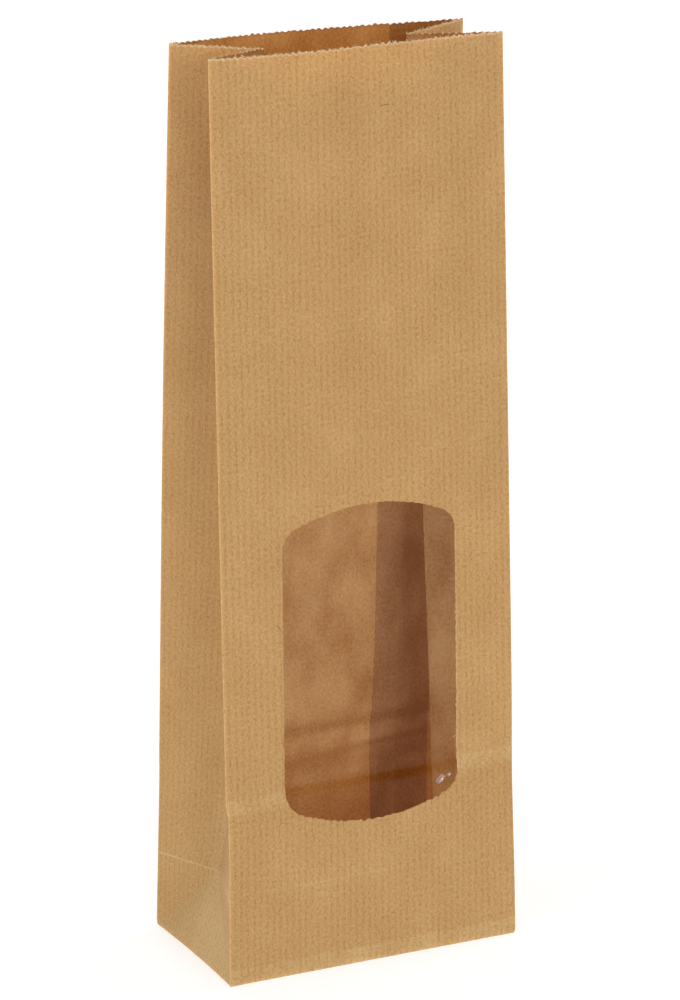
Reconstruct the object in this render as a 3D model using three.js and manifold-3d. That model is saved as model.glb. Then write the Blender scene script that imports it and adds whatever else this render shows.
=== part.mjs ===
// A block-bottom paper bag with a window, standing open and empty. One sheet of ribbed brown
// kraft paper is folded in at both sides, its foot is a flat block, its mouth is cut in small
// teeth, and clear film behind the front panel closes the window.
// Millimetres, +Z up. The origin is the middle of the foot, and the window faces -Y.

import * as THREE from 'three';
import { mergeVertices } from 'three/addons/utils/BufferGeometryUtils.js';
import Module from 'manifold-3d';

const wasm = await Module();
wasm.setup();

// The bag as it is bought
const width = 70; // front and back panels, fold to fold
const depth = 40; // side gussets, opened flat
const height = 205; // foot to mouth, measured along the paper
const sheet = 0.25; // ribbed paper, over its ribs
const base = 0.5; // the folded foot, two sheets

// How it stands: the block foot is fully open and the mouth is half closed
const foot = { halfWidth: width / 2 + 0.4, halfDepth: depth / 2 };
const mouth = {
  halfWidth: width / 2 - 0.3,
  shift: 0.2,
  frontLeft: -10.8,
  frontRight: -10.6,
  backLeft: 9.1,
  backRight: 7.7,
};
const waist = { up: 37, pinch: 0.6, spread: 14 }; // folds drawn in just above the foot block
const packFold = { top: depth + 4.2, bottom: depth + 0.7, step: 0.3 }; // line the foot folds up on
const bow = { fade: 1.6, front: 1.1, frontTwist: 0.85, back: 2.8, backTwist: 0.25 };

// Each gusset's middle crease: how deep it lies at the tip of the foot's triangle and at the mouth
const leftGusset = { side: -1, tipInset: 6.3, mouthInset: 17.4, mouthRise: 204.0, power: 0.6 };
const rightGusset = { side: 1, tipInset: 9.6, mouthInset: 18.4, mouthRise: 204.4, power: 0.85 };

// Cut edges
const tooth = { depth: 0.35, perColumn: 2, band: 1.8 };
const columns = { panel: 24, gusset: 14 }; // 48 teeth along a panel and 28 along a gusset
const windowCut = {
  middle: 0.3,
  halfWidth: 21.1,
  low: 33.3,
  high: 105.1,
  archRise: 5,
  cornerRadius: 3.5,
  lean: 0.008, // the die stood slightly askew
  cutFrom: -25,
  cutTo: -12,
  curveSteps: 10,
};
const film = { halfWidth: 28.8, low: 26, high: 112.5, gap: 0.3, thickness: 0.25, cells: [8, 10] };

// Rows of points up the wall: along the foot's triangles, at the pack fold, then evenly
const triangleUp = depth / 2;
const triangleRows = columns.gusset / 2;
const wallRows = [60, 85, 110, 135, 160, 182];

const mix = THREE.MathUtils.lerp;
const clamp = THREE.MathUtils.clamp;

function foldX(side, up) {
  const straight = mix(side * foot.halfWidth, mouth.shift + side * mouth.halfWidth, up / height);
  const drawnIn = waist.pinch * Math.exp(-(((up - waist.up) / waist.spread) ** 2));
  return straight - side * drawnIn * clamp(up / waist.spread, 0, 1);
}

// A vertical fold leans in from the foot's corner to its place at the mouth
function fold(side, mouthY, up) {
  const footY = Math.sign(mouthY) * foot.halfDepth;
  const lean = Math.asin((footY - mouthY) / height);
  return new THREE.Vector3(foldX(side, up), mix(footY, mouthY, up / height), up * Math.cos(lean));
}

const folds = {
  frontLeft: (up) => fold(-1, mouth.frontLeft, up),
  frontRight: (up) => fold(1, mouth.frontRight, up),
  backLeft: (up) => fold(-1, mouth.backLeft, up),
  backRight: (up) => fold(1, mouth.backRight, up),
};

// Below the pack fold a panel stands a little proud of the wall above it
function foldStep(up) {
  const below = clamp((packFold.top - up) / (packFold.top - packFold.bottom), 0, 1);
  return packFold.step * below * clamp(up / packFold.bottom, 0, 1);
}

// across runs from -1 at the left fold to 1 at the right fold
function panelPoint(leftFold, rightFold, outward, bulge, twist, across, up) {
  const point = leftFold(up).lerp(rightFold(up), (across + 1) / 2);
  const crown = bulge * Math.cos((across * Math.PI) / 2) - twist * Math.sin(across * Math.PI);
  const proud = crown * (up / height) ** bow.fade;
  const step = foldStep(up) * Math.cos((across * Math.PI) / 2);
  point.y += outward * (proud + step);
  return point;
}

function frontPoint(across, up) {
  return panelPoint(folds.frontLeft, folds.frontRight, -1, bow.front, bow.frontTwist, across, up);
}

function backPoint(across, up) {
  return panelPoint(folds.backLeft, folds.backRight, 1, bow.back, bow.backTwist, across, up);
}

// The middle crease starts at the tip of the foot's triangle and deepens up to the mouth
function creaseInset(gusset, up) {
  const climbed = Math.max(up - triangleUp, 0) / (height - triangleUp);
  return mix(gusset.tipInset, gusset.mouthInset, climbed ** gusset.power);
}

function creaseRise(gusset, up) {
  const tipRise = Math.sqrt(triangleUp ** 2 - gusset.tipInset ** 2);
  if (up < triangleUp) {
    return (tipRise * up) / triangleUp;
  }
  return mix(tipRise, gusset.mouthRise, (up - triangleUp) / (height - triangleUp));
}

// across runs from -1 at the front fold to 1 at the back fold
function gussetPoint(gusset, across, up) {
  const left = gusset.side < 0;
  const front = left ? folds.frontLeft(up) : folds.frontRight(up);
  const back = left ? folds.backLeft(up) : folds.backRight(up);
  const point = front.lerp(back, (across + 1) / 2);
  const towardsCrease = 1 - Math.abs(across);
  const legInset = creaseInset(gusset, up) * towardsCrease;
  const triangleInset = (gusset.tipInset * up) / triangleUp;
  point.x -= gusset.side * Math.min(legInset, triangleInset);
  const reach = up < triangleUp ? clamp((triangleUp * towardsCrease) / up, 0, 1) : towardsCrease;
  point.z = mix(point.z, creaseRise(gusset, up), up > 0 ? reach : 0);
  return point;
}

// The walls in order round the bag, anticlockwise as seen from above
const panel = { columns: columns.panel, creased: false };
const gusset = { columns: columns.gusset, creased: true };
const walls = [
  { ...panel, pointAt: (t, up) => frontPoint(2 * t - 1, up) },
  { ...gusset, pointAt: (t, up) => gussetPoint(rightGusset, 2 * t - 1, up) },
  { ...panel, pointAt: (t, up) => backPoint(1 - 2 * t, up) },
  { ...gusset, pointAt: (t, up) => gussetPoint(leftGusset, 1 - 2 * t, up) },
];

const beyondMiddle = walls.flatMap((wall) =>
  Array.from({ length: wall.columns }, (_, i) => wall.creased && i >= wall.columns / 2),
);

function ring(up) {
  const points = [];
  for (const wall of walls) {
    for (let i = 0; i < wall.columns; i += 1) {
      points.push(wall.pointAt(i / wall.columns, up));
    }
  }
  return points;
}

// The inner face of the paper: each point moves in along the mitre of its two neighbours' walls
function innerRing(points) {
  const count = points.length;
  const normalAfter = (i) => {
    const from = points[i % count];
    const to = points[(i + 1) % count];
    return new THREE.Vector2(to.y - from.y, from.x - to.x).normalize();
  };
  return points.map((point, i) => {
    const before = normalAfter(i + count - 1);
    const after = normalAfter(i);
    const mitre = before.clone().add(after).multiplyScalar(sheet / (1 + before.dot(after)));
    return new THREE.Vector3(point.x - mitre.x, point.y - mitre.y, point.z);
  });
}

// Splits each step of a ring and drops every second point, which leaves pointed teeth
function toothedRing(points) {
  const steps = 2 * tooth.perColumn;
  const fine = [];
  points.forEach((point, i) => {
    const next = points[(i + 1) % points.length];
    for (let k = 0; k < steps; k += 1) {
      const split = point.clone().lerp(next, k / steps);
      split.z -= k % 2 === 0 ? tooth.depth : 0;
      fine.push(split);
    }
  });
  return fine;
}

// A closed body is collected as points and triangles
class Body {
  constructor() {
    this.points = [];
    this.triangles = [];
  }

  add(points) {
    const start = this.points.length;
    this.points.push(...points);
    return { start, count: points.length };
  }

  triangle(a, b, c, flip) {
    this.triangles.push(...(flip ? [a, c, b] : [a, b, c]));
  }

  // Joins two rings; the upper one may have several points for each point of the lower one.
  // turn says how many of a step's upper points fan out from the step's first lower point.
  join(lower, upper, turn, flip = false) {
    const steps = upper.count / lower.count;
    for (let i = 0; i < lower.count; i += 1) {
      const here = lower.start + i;
      const next = lower.start + ((i + 1) % lower.count);
      const above = (k) => upper.start + ((i * steps + k) % upper.count);
      for (let k = 0; k < steps; k += 1) {
        this.triangle(k < turn(i) ? here : next, above(k + 1), above(k), flip);
      }
      this.triangle(here, next, above(turn(i)), flip);
    }
  }

  // Closes a ring with triangles round a middle point
  cap(rim, middle, flip = false) {
    const centre = this.add([middle]).start;
    for (let i = 0; i < rim.count; i += 1) {
      this.triangle(centre, rim.start + i, rim.start + ((i + 1) % rim.count), flip);
    }
  }

  geometry() {
    const geometry = new THREE.BufferGeometry().setFromPoints(this.points);
    geometry.setIndex(this.triangles);
    return geometry;
  }
}

// The same shape with one vertex at each corner
function sharedPoints(geometry) {
  geometry.deleteAttribute('normal');
  geometry.deleteAttribute('uv');
  return mergeVertices(geometry);
}

function toManifold(geometry) {
  const vertProperties = new Float32Array(geometry.attributes.position.array);
  const triVerts = new Uint32Array(geometry.index.array);
  return new wasm.Manifold(new wasm.Mesh({ numProp: 3, vertProperties, triVerts }));
}

function fromManifold(solid) {
  const { vertProperties, triVerts } = solid.getMesh();
  const geometry = new THREE.BufferGeometry();
  geometry.setAttribute('position', new THREE.BufferAttribute(vertProperties, 3));
  geometry.setIndex(new THREE.BufferAttribute(triVerts, 1));
  return geometry;
}

// The folded sheet: an outer wall, an inner wall, a toothed rim and a flat foot
function bagSheet() {
  const body = new Body();
  const rows = [];
  for (let i = 1; i <= triangleRows; i += 1) {
    rows.push((triangleUp * i) / triangleRows);
  }
  rows.push(packFold.bottom, packFold.top, ...wallRows, height - tooth.band);

  const outer = [body.add(ring(0))];
  const inner = [body.add(innerRing(ring(base)).map((point) => point.setZ(base)))];
  for (const up of rows) {
    outer.push(body.add(ring(up)));
    inner.push(body.add(innerRing(ring(up))));
  }
  outer.push(body.add(toothedRing(ring(height))));
  inner.push(body.add(toothedRing(innerRing(ring(height)))));

  // Beyond a gusset's middle the diagonals turn over, so that they lie along the slanting folds
  const alongFold = (i) => (beyondMiddle[i] ? 0 : 1);
  const fan = () => tooth.perColumn;
  for (let i = 1; i < outer.length; i += 1) {
    const turn = outer[i].count > outer[i - 1].count ? fan : alongFold;
    body.join(outer[i - 1], outer[i], turn);
    body.join(inner[i - 1], inner[i], turn, true);
  }
  body.join(outer.at(-1), inner.at(-1), () => 1);
  body.cap(outer[0], new THREE.Vector3(0, 0, 0), true);
  body.cap(inner[0], new THREE.Vector3(0, 0, base));
  return body.geometry();
}

// The window's outline about its own middle: upright sides, a shallow arch at each end and
// rounded corners
function windowOutline() {
  const { halfWidth, low, high, archRise, cornerRadius } = windowCut;
  const radius = (halfWidth ** 2 + archRise ** 2) / (2 * archRise);
  const halfAngle = Math.asin((halfWidth - cornerRadius) / radius);
  const reach = (high - low) / 2;
  const upright = Math.PI / 2;
  const corner = { x: radius * Math.sin(halfAngle), y: reach - radius * (1 - Math.cos(halfAngle)) };
  const shoulder = reach - archRise;
  const shape = new THREE.Shape();
  shape.absarc(0, reach - radius, radius, upright - halfAngle, upright + halfAngle, false);
  shape.quadraticCurveTo(-halfWidth, shoulder, -halfWidth, shoulder - cornerRadius);
  shape.lineTo(-halfWidth, cornerRadius - shoulder);
  shape.quadraticCurveTo(-halfWidth, -shoulder, -corner.x, -corner.y);
  shape.absarc(0, radius - reach, radius, -upright - halfAngle, -upright + halfAngle, false);
  shape.quadraticCurveTo(halfWidth, -shoulder, halfWidth, cornerRadius - shoulder);
  shape.lineTo(halfWidth, shoulder - cornerRadius);
  shape.quadraticCurveTo(halfWidth, shoulder, corner.x, corner.y);
  return shape;
}

// The outline is extruded along Z, then laid over so that it runs along Y through the front panel
function windowCutter() {
  const run = windowCut.cutTo - windowCut.cutFrom;
  const geometry = new THREE.ExtrudeGeometry(windowOutline(), {
    depth: run,
    bevelEnabled: false,
    curveSegments: windowCut.curveSteps,
  });
  geometry.rotateZ(-windowCut.lean);
  geometry.rotateX(Math.PI / 2);
  geometry.translate(windowCut.middle, windowCut.cutTo, (windowCut.low + windowCut.high) / 2);
  return sharedPoints(geometry);
}

// The film is a flat slab, bent to follow the back of the front panel
function filmSheet() {
  const middleUp = (film.low + film.high) / 2;
  const [across, upward] = film.cells;
  const slab = new THREE.BoxGeometry(
    2 * film.halfWidth,
    film.thickness,
    film.high - film.low,
    across,
    1,
    upward,
  );
  slab.translate(windowCut.middle, sheet + film.gap + film.thickness / 2, middleUp);
  const geometry = sharedPoints(slab);
  const position = geometry.attributes.position;
  for (let i = 0; i < position.count; i += 1) {
    const up = position.getZ(i);
    const panel = frontPoint(position.getX(i) / foldX(1, up), up);
    position.setY(i, position.getY(i) + panel.y);
    position.setZ(i, panel.z);
  }
  return geometry;
}

function piece(name, geometry, look) {
  geometry.computeVertexNormals();
  const mesh = new THREE.Mesh(geometry, new THREE.MeshStandardMaterial(look));
  mesh.name = name;
  return mesh;
}

const paperBag = fromManifold(toManifold(bagSheet()).subtract(toManifold(windowCutter())));

const group = new THREE.Group();
group.add(piece('paper_bag', paperBag, { color: 0xbf9864, roughness: 0.85, metalness: 0 }));
group.add(piece('window_film', filmSheet(), { color: 0xf4f1ea, roughness: 0.12, metalness: 0 }));

export default group;
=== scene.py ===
import math

import bmesh
import bpy
import numpy as np
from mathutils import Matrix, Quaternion, Vector


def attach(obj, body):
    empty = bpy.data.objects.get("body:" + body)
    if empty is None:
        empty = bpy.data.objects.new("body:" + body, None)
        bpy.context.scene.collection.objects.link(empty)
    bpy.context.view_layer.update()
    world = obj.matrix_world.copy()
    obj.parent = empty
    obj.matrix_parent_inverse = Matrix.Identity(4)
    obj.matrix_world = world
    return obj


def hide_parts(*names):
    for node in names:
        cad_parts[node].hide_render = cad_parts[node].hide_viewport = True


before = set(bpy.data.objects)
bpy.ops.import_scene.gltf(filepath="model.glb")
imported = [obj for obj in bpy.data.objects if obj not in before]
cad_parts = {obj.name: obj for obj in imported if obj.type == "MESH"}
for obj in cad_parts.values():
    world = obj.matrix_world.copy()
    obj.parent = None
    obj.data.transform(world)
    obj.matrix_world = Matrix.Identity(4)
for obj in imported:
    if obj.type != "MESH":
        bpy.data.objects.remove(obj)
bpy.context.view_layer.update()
mm = 0.001
print("frame loaded")

# An open block-bottom bag of ribbed kraft paper. Every point of the paper has two sheet
# coordinates in millimetres: along, round the bag from the front left fold, and up from the foot.

bagForm = {
    "width": 70.0,  # front and back panels, fold to fold
    "depth": 40.0,  # side gussets, opened flat
    "height": 205.0,  # foot to mouth along the paper
    "sheet": 0.16,  # paper thickness, over the ribs and the loose fibres at its cut edges
    "footFloor": 0.6,  # inner floor above the table
    "footBulge": 0.57,  # how far each side of the foot stands out past the flat width
    "mouthPinch": 0.1,  # how far each side of the mouth stands in
    "mouthShift": 0.2,  # and the whole mouth to the right
    "mouthY": {"frontLeft": -10.8, "frontRight": -10.6, "backLeft": 9.1, "backRight": 7.7},
    "foldRadius": 0.2,  # of the upright folds, and of the foot's edge
    "footRadius": 0.22,
    "bowFade": 1.6,  # power of the height by which a panel's bow grows towards the mouth
    "frontBow": (1.1, 0.85),  # crown and twist of the front panel at the mouth
    "backBow": (2.8, 0.25),
    "packFold": (44.3, 40.8, 0.55),  # top and bottom of the step where the foot folds up flat
    # How far the upright folds are drawn in over the foot. On the left this grows up to the first
    # height and ends between the two others. On the right it has a middle, a spread and a start.
    "waist": {"frontLeft": 0.55, "backLeft": 0.1, "frontRight": 0.25, "backRight": 0.5},
    "waistLeft": (34.0, 38.6, 42.0),
    "waistRight": (37.0, 15.0, 14.0),
    "footLip": (4.0, 0.12),  # the lowest strip leans in
    "footBend": (10.0, 0.4),  # the gussets' foot edges lean in at the middle
    "cornerRound": {"frontLeft": 0.1, "backLeft": 0.4, "frontRight": 0.45, "backRight": 0.35},
    "cornerUp": 1.3,  # the foot's corners are rounded off up to here
    "wave": {"front": 0.10, "side": 0.16, "back": 0.22},  # slack of the panels
    "backLeftBow": (45.0, 0.3),  # the back left fold bows out over this height
    "seam": (112.5, 127.0),  # glued overlap on the back panel, along the sheet
    "seamStep": (0.8, 4.0),  # its depth in sheets, and how far from the fold it is full
}

# The middle crease of each gusset: inset at the tip of the foot's triangle and at the mouth
gussetForm = {
    -1: {"tipInset": 6.3, "mouthInset": 17.4, "mouthRise": 204.0, "power": 0.6},
    1: {"tipInset": 9.6, "mouthInset": 18.4, "mouthRise": 204.4, "power": 0.85},
}

mouthCut = {"teethPerPanel": 48, "teethPerLeg": 14, "depth": 0.36, "rough": 0.07, "rimFrayAndShadeWidth": 0.42}

# Extra columns of the mesh beside each fold and each edge of the seam
nearFold, nearSeam = (-0.3, -0.15, 0.15, 0.3), (-0.04, 0.04)

windowCut = {
    "middle": 0.3,  # across from the middle of the panel
    "halfWidth": 21.1,
    "low": 33.3,
    "high": 105.1,
    "archRise": 5.0,
    "cornerRadius": 3.5,
    "lean": 0.008,  # the die stood slightly askew
    "rough": 0.13,
    "roughToward": 2.2,  # bearing from upright, in radians, of the roughest stretch
    "calm": 0.5,  # share of the roughness that is left away from there
    "margin": (-25.0, 25.6, 29.0, 109.5),  # patch of the panel that is re-meshed round the cut
    "rings": (0.3, 0.58, 0.8),
    "rimFrayAndShadeWidth": 0.16,  # of the paler edge, and of the painted shade inside
    "fray": 0.15,  # how pale it is at the right outside, and how much painted shade it gets inside
}

rng = np.random.default_rng(7)
wallLengths = np.array([bagForm["width"], bagForm["depth"] / 2, bagForm["depth"] / 2] * 2)
wallStarts = np.concatenate(([0.0], np.cumsum(wallLengths)[:-1]))
girth = float(wallLengths.sum())
triangleUp = bagForm["depth"] / 2


def smooth(x, low, high):
    t = np.clip((x - low) / (high - low), 0.0, 1.0)
    return t * t * (3.0 - 2.0 * t)


def foldX(side, waist, up):
    share = up / bagForm["height"]
    straight = side * (bagForm["width"] / 2 + bagForm["footBulge"] * (1 - share))
    straight = straight + share * (bagForm["mouthShift"] - side * bagForm["mouthPinch"])
    if side < 0:
        full, ending, ended = bagForm["waistLeft"]
        drawn = smooth(up, 0.0, full) * (1 - smooth(up, ending, ended))
    else:
        middle, spread, full = bagForm["waistRight"]
        drawn = np.exp(-(((up - middle) / spread) ** 2)) * smooth(up, 0.0, full)
    return straight - side * waist * drawn


def foldLine(side, corner, up):
    mouthY = bagForm["mouthY"][corner]
    footY = math.copysign(bagForm["depth"] / 2, mouthY)
    lean = math.asin((footY - mouthY) / bagForm["height"])
    y = footY + (mouthY - footY) * up / bagForm["height"]
    x = foldX(side, bagForm["waist"][corner], up)
    x = x - side * bagForm["cornerRound"][corner] * np.clip(1 - up / bagForm["cornerUp"], 0, 1) ** 2
    return np.stack([x, y, up * math.cos(lean)], axis=-1)


def creaseLine(side, front, back, up):
    form = gussetForm[side]
    climbed = np.clip((up - triangleUp) / (bagForm["height"] - triangleUp), 0.0, 1.0)
    above = form["tipInset"] + (form["mouthInset"] - form["tipInset"]) * climbed ** form["power"]
    below = form["tipInset"] * np.clip(up / triangleUp, 0.0, 1.0)
    inset = np.where(up < triangleUp, below, above)
    tipRise = math.sqrt(triangleUp**2 - form["tipInset"] ** 2)
    rise = np.where(
        up < triangleUp,
        tipRise * up / triangleUp,
        tipRise + (form["mouthRise"] - tipRise) * climbed,
    )
    point = (front + back) / 2
    point[..., 0] -= side * inset
    point[..., 2] = rise
    return point


# The six fold points of the level at each up, in order round the bag.
def foldPoints(up):
    frontLeft, backLeft = foldLine(-1, "frontLeft", up), foldLine(-1, "backLeft", up)
    frontRight, backRight = foldLine(1, "frontRight", up), foldLine(1, "backRight", up)
    bowFrom, bow = bagForm["backLeftBow"]
    risen = np.clip((up - bowFrom) / (bagForm["height"] - bowFrom), 0, 1)
    backLeft[..., 0] -= bow * np.sin(math.pi * risen)
    creaseRight = creaseLine(1, frontRight, backRight, up)
    creaseLeft = creaseLine(-1, frontLeft, backLeft, up)
    return np.stack([frontLeft, frontRight, creaseRight, backRight, backLeft, creaseLeft])


# How far a gusset's leg leaves its chord below the tip of the foot's triangle.
def creaseBend(wall, t, up, folds):
    bend = np.zeros((len(up), 3))
    for legWall, side, fold, crease in ((1, 1, 1, 2), (2, 1, 3, 2), (4, -1, 4, 5), (5, -1, 0, 5)):
        chosen = (wall == legWall) & (up < triangleUp)
        toCrease = t[chosen] if legWall in (1, 4) else 1 - t[chosen]
        level = up[chosen] / triangleUp
        tipInset = gussetForm[side]["tipInset"]
        flat = np.minimum(tipInset * toCrease, tipInset * level) - tipInset * level * toCrease
        reach = np.clip(toCrease / np.maximum(level, 1e-6), 0, 1)
        drop = folds[crease, chosen, 2] - folds[fold, chosen, 2]
        bend[chosen, 0] = -side * flat
        bend[chosen, 2] = drop * (reach - toCrease)
    return bend


waveShape = {  # cycles across, cycles up, phase and weight of each ripple of the slack paper
    "front": [(1.5, 1.3, 0.4, 0.5), (2.5, 2.2, 2.1, 0.3), (4.0, 3.1, 4.0, 0.2)],
    "side": [(0.5, 2.3, 1.0, 0.5), (1.0, 4.1, 3.1, 0.3), (1.5, 7.0, 5.2, 0.2)],
    "back": [(1.5, 1.7, 2.6, 0.4), (3.0, 2.9, 0.7, 0.35), (5.0, 4.3, 1.9, 0.25)],
}


def slack(kind, t, up):
    share = up / bagForm["height"]
    total = sum(
        weight * np.sin(2 * math.pi * (across * t + rise * share) + phase)
        for across, rise, phase, weight in waveShape[kind]
    )
    hold = np.sin(math.pi * np.clip(t, 0, 1)) ** 0.7 * smooth(up, 2.0, 18.0)
    return bagForm["wave"][kind] * total * hold


# How far the paper stands out of the flat between its folds.
def outwardRelief(wall, t, up):
    share = up / bagForm["height"]
    high, low, step = bagForm["packFold"]
    crown = np.sin(math.pi * t)
    standing = np.zeros(len(up))
    for panel, (bulge, twist), kind in ((0, bagForm["frontBow"], "front"), (3, bagForm["backBow"], "back")):
        here = wall == panel
        across = (2 * t[here] - 1) * (1 if panel == 0 else -1)
        bow = bulge * np.cos(across * math.pi / 2) - twist * np.sin(across * math.pi)
        folded = step * (1 - smooth(up[here], low, high)) * smooth(up[here], 4.0, low)
        folded = folded * np.clip(crown[here] * 4.0, 0, 1)
        standing[here] = bow * share[here] ** bagForm["bowFade"] + folded
        standing[here] += slack(kind, t[here], up[here])
    bendUp, bendIn = bagForm["footBend"]
    for leg in (1, 2, 4, 5):
        here = wall == leg
        standing[here] = slack("side", t[here], up[here])
        across = (t[here] + (leg in (2, 5))) / 2
        standing[here] -= bendIn * np.sin(math.pi * across) * (1 - smooth(up[here], 0.0, bendUp))
    lipUp, lipIn = bagForm["footLip"]
    return standing - lipIn * (1 - smooth(up, 0.0, lipUp)) * np.clip(crown * 5.0, 0, 1)


# The glued overlap: the paper steps in by most of a sheet at each of its two edges.
def seamRelief(along, inside):
    outerEdge, innerEdge = bagForm["seam"]
    edge = innerEdge if inside else outerEdge
    depth, full = bagForm["seamStep"]
    fade = smooth(along, wallStarts[3], wallStarts[3] + full)
    return -bagForm["sheet"] * depth * fade * (along >= wallStarts[3]) * (along < edge)


# Outward normal of each of the six walls at each level, in the plan.
def levelNormals(folds):
    run = np.roll(folds, -1, axis=0) - folds
    normals = np.stack([run[..., 1], -run[..., 0], np.zeros(run.shape[:-1])], axis=-1)
    return normals / np.linalg.norm(normals, axis=-1, keepdims=True)


# Where a point of the paper is, in millimetres, on its outer or its inner face.
def sheetPoint(along, up, inside):
    along, up = np.asarray(along, float), np.asarray(up, float)
    folds = foldPoints(up)
    outward = levelNormals(folds)
    index = np.arange(len(up))
    wall = np.clip(np.searchsorted(wallStarts, along, side="right") - 1, 0, 5)
    t = (along - wallStarts[wall]) / wallLengths[wall]
    bend = creaseBend(wall, t, up, folds)
    if inside:
        before = np.roll(outward, 1, axis=0)
        mitre = (before + outward) / (1 + (before * outward).sum(axis=-1, keepdims=True))
        folds = folds - mitre * bagForm["sheet"]
    start, end = folds[wall, index], folds[(wall + 1) % 6, index]
    normal = outward[wall, index]
    point = start + (end - start) * t[:, None] + bend
    standing = outwardRelief(wall, t, up) + seamRelief(along, inside)
    point = point + normal * standing[:, None]
    if not inside:
        pull = footPull(up)[:, None]
        point = point + pull * ([0, 0, 1] - normal)
    return point + foldRound(along, folds)


# Rounds the paper over each fold.
def foldRound(along, folds):
    radius = bagForm["foldRadius"]
    total = np.zeros((len(along), 3))
    for fold in range(6):
        gap = (along - wallStarts[fold] + girth / 2) % girth - girth / 2
        near = np.abs(gap) < radius
        here = folds[fold, near]
        toward = [folds[(fold + turn) % 6, near] - here for turn in (-1, 1)]
        toward = [run / np.linalg.norm(run, axis=-1, keepdims=True) for run in toward]
        share = (gap[near] + radius) / (2 * radius)
        pull = radius * np.minimum(share, 1 - share) ** 2
        total[near] = pull[:, None] * (toward[0] + toward[1])
    return total


# The mesh is collected as points with their sheet coordinates, and faces with a material each.
# Faces are wound so that they point outwards on the outer side.

outsideFace, insideFace, cutFace = 0, 1, 2


class PaperMesh:
    def __init__(self):
        self.points, self.sheet, self.frayed, self.faces, self.looks = [], [], [], [], []
        self.count = 0

    def add(self, points, along, up, frayed=0.0):
        start = self.count
        self.points.append(np.asarray(points, float))
        self.frayed.append(np.broadcast_to(frayed, np.shape(along)))
        self.sheet.append(np.stack([along, np.broadcast_to(up, np.shape(along))], axis=-1))
        self.count += len(points)
        return np.arange(start, self.count)

    # Joins two rings of equal count; turn picks the diagonal of each step.
    def strip(self, lower, upper, look, turn=None, skip=None):
        after = lambda ring: np.roll(ring, -1)
        a, b, c, d = lower, after(lower), after(upper), upper
        for i in range(len(lower)):
            if skip is not None and skip[i]:
                continue
            if look == insideFace:
                quad = (b[i], a[i], d[i], c[i])
            else:
                quad = (a[i], b[i], c[i], d[i])
            if turn is None or turn[i] == 0:
                self.face(quad, look)
            elif (turn[i] > 0) == (look != insideFace):
                self.face((quad[0], quad[1], quad[2]), look)
                self.face((quad[0], quad[2], quad[3]), look)
            else:
                self.face((quad[0], quad[1], quad[3]), look)
                self.face((quad[1], quad[2], quad[3]), look)

    def face(self, corners, look):
        self.faces.append(tuple(int(i) for i in corners))
        self.looks.append(look)

    def object(self, name, materials):
        mesh = bpy.data.meshes.new(name)
        points = np.concatenate(self.points) * mm
        sheet = np.concatenate(self.sheet)
        mesh.from_pydata(points.tolist(), [], self.faces)
        mesh.polygons.foreach_set("material_index", self.looks)
        corners = np.concatenate([np.array(face) for face in self.faces])
        sizes = np.array([len(face) for face in self.faces])
        faceOf = np.repeat(np.arange(len(sizes)), sizes)
        along = sheet[corners, 0]
        widest = np.zeros(len(sizes))
        np.maximum.at(widest, faceOf, along)
        along = np.where((widest[faceOf] - along) > girth / 2, along + girth, along)
        layer = mesh.uv_layers.new(name="sheet")
        place = np.stack([along / uvSpan, (sheet[corners, 1] + uvBelow) / uvSpan], axis=-1)
        layer.uv.foreach_set("vector", place.ravel())
        mesh.attributes.new("frayed", "FLOAT", "POINT")
        mesh.attributes["frayed"].data.foreach_set("value", np.concatenate(self.frayed))
        weld(mesh)
        for material in materials:
            mesh.materials.append(material)
        thing = bpy.data.objects.new(name, mesh)
        bpy.context.scene.collection.objects.link(thing)
        return thing


# Joins points that lie on each other, drops unused ones and keeps cut edges crisp.
def weld(mesh):
    shape = bmesh.new()
    shape.from_mesh(mesh)
    bmesh.ops.remove_doubles(shape, verts=shape.verts, dist=2e-6)
    loose = [point for point in shape.verts if not point.link_faces]
    bmesh.ops.delete(shape, geom=loose, context="VERTS")
    shape.to_mesh(mesh)
    shape.free()
    mesh.shade_smooth()
    mesh.set_sharp_from_angle(angle=math.radians(50))


uvSpan, uvBelow = 240.0, 30.0  # the sheet's UV map: millimetres / span, moved up for the foot


# Places along the sheet, with how far down the mouth's cut is at each.
def sheetColumns():
    along, drop = [], []
    teethPerWall = [mouthCut["teethPerPanel"], mouthCut["teethPerLeg"], mouthCut["teethPerLeg"]] * 2
    for wall, teeth in enumerate(teethPerWall):
        steps = 2 * teeth
        for i in range(steps):
            along.append(wallStarts[wall] + wallLengths[wall] * i / steps)
            drop.append(i % 2)
    along, drop = np.array(along), np.array(drop, float)
    drop = drop * mouthCut["depth"] + mouthCut["rough"] * rng.normal(size=len(drop))
    extra = []
    for fold in wallStarts:
        extra += [fold + away for away in nearFold]
    outerEdge, innerEdge = bagForm["seam"]
    for edge in (outerEdge, innerEdge):
        mirrored = wallLengths[0] + wallStarts[3] - edge  # the same place on the front panel
        extra += [place + away for place in (edge, mirrored) for away in nearSeam]
    extra = np.array(extra) % girth
    order = np.argsort(np.concatenate([along, extra]))
    every = np.concatenate([along, extra])[order]
    cut = np.interp(every, np.append(along, girth), np.append(drop, drop[0]))
    return every, cut


# Levels of the mesh, close together where the paper bends.
def sheetRows():
    foot = [0.12, 0.24, 0.36]
    triangle = [triangleUp * k / 28 for k in range(1, 29)]
    block = list(np.arange(22.0, 36.1, 2.0))
    folded = list(np.arange(36.6, 43.1, 0.6))
    wall = list(np.arange(45.4, 195.1, 2.4))
    mouth = list(np.arange(wall[-1] + 1.5, 203.5, 1.5)) + [203.7]
    return np.array(foot + triangle + block + folded + wall + mouth)


# The window: outline as a distance from its middle for each angle, then rings of points from
# the outline back to the panel's own grid.

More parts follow.
